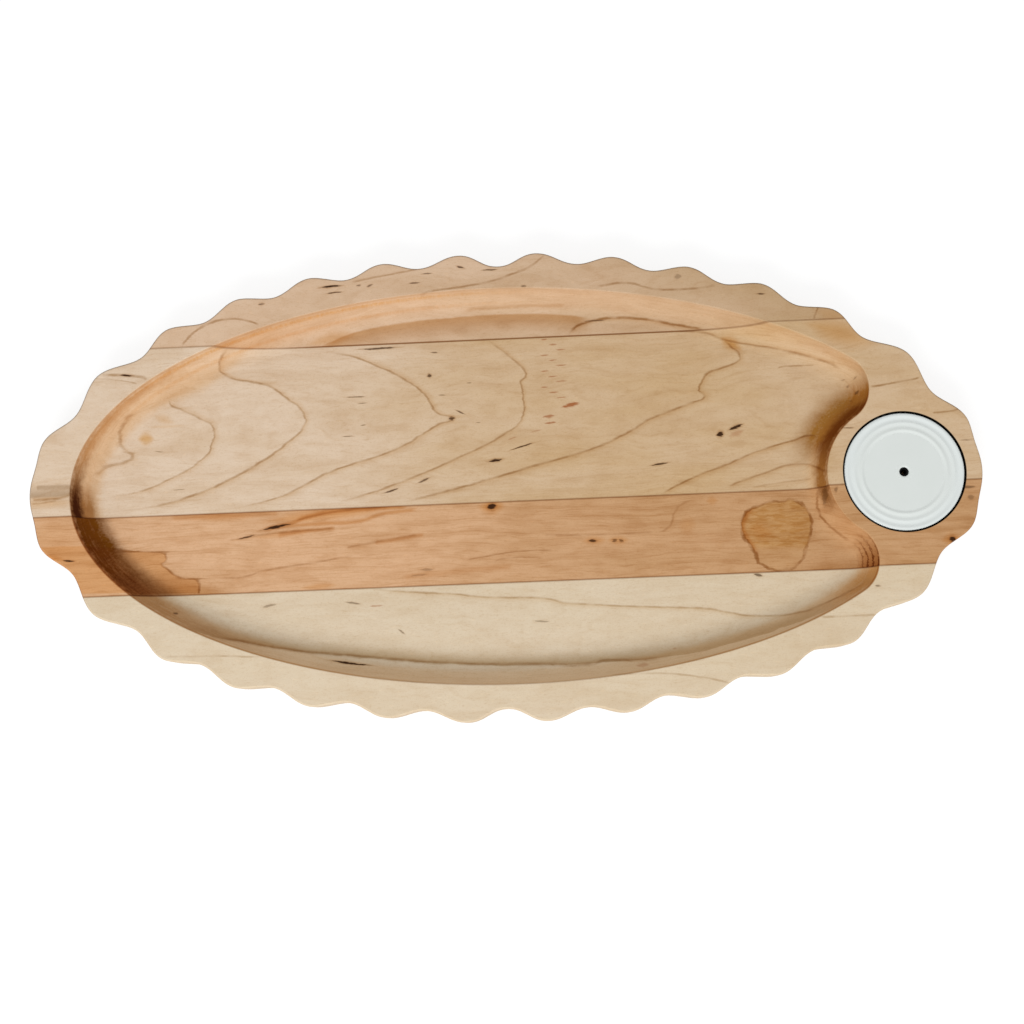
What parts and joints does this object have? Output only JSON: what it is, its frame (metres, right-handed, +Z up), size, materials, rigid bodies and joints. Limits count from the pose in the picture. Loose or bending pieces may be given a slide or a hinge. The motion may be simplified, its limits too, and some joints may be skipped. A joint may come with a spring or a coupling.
{
  "type": "chip and dip server",
  "caption": "Oval serving board in glued maple with a scalloped rim, a routed oval well and a white ceramic disc that holds an ornament's peg.",
  "frame": {"origin": "on the surface the board stands on, below the middle of its bounding box, which is the middle of the oval", "axes": "+X along the board toward the ceramic disc, +Y toward the back, +Z up"},
  "size_m": [0.5478, 0.2722, 0.019],
  "materials": {
    "maple_back": "oiled",
    "maple_wide": "oiled",
    "maple_narrow": "oiled",
    "maple_front": "oiled",
    "white_glaze": "glossy",
    "grip_rubber": "matte"
  },
  "bodies": {
    "board": {"back_stave": "maple_back", "wide_stave": "maple_wide", "narrow_stave": "maple_narrow", "front_stave": "maple_front"},
    "disc": {"ceramic_disc": "white_glaze", "peg_grip": "grip_rubber"}
  },
  "joints": [
    {"name": "disc_lift", "type": "slide", "parent": "board", "child": "disc", "axis": [0, 0, 1], "range_m": [0, 0.03]}
  ]
}
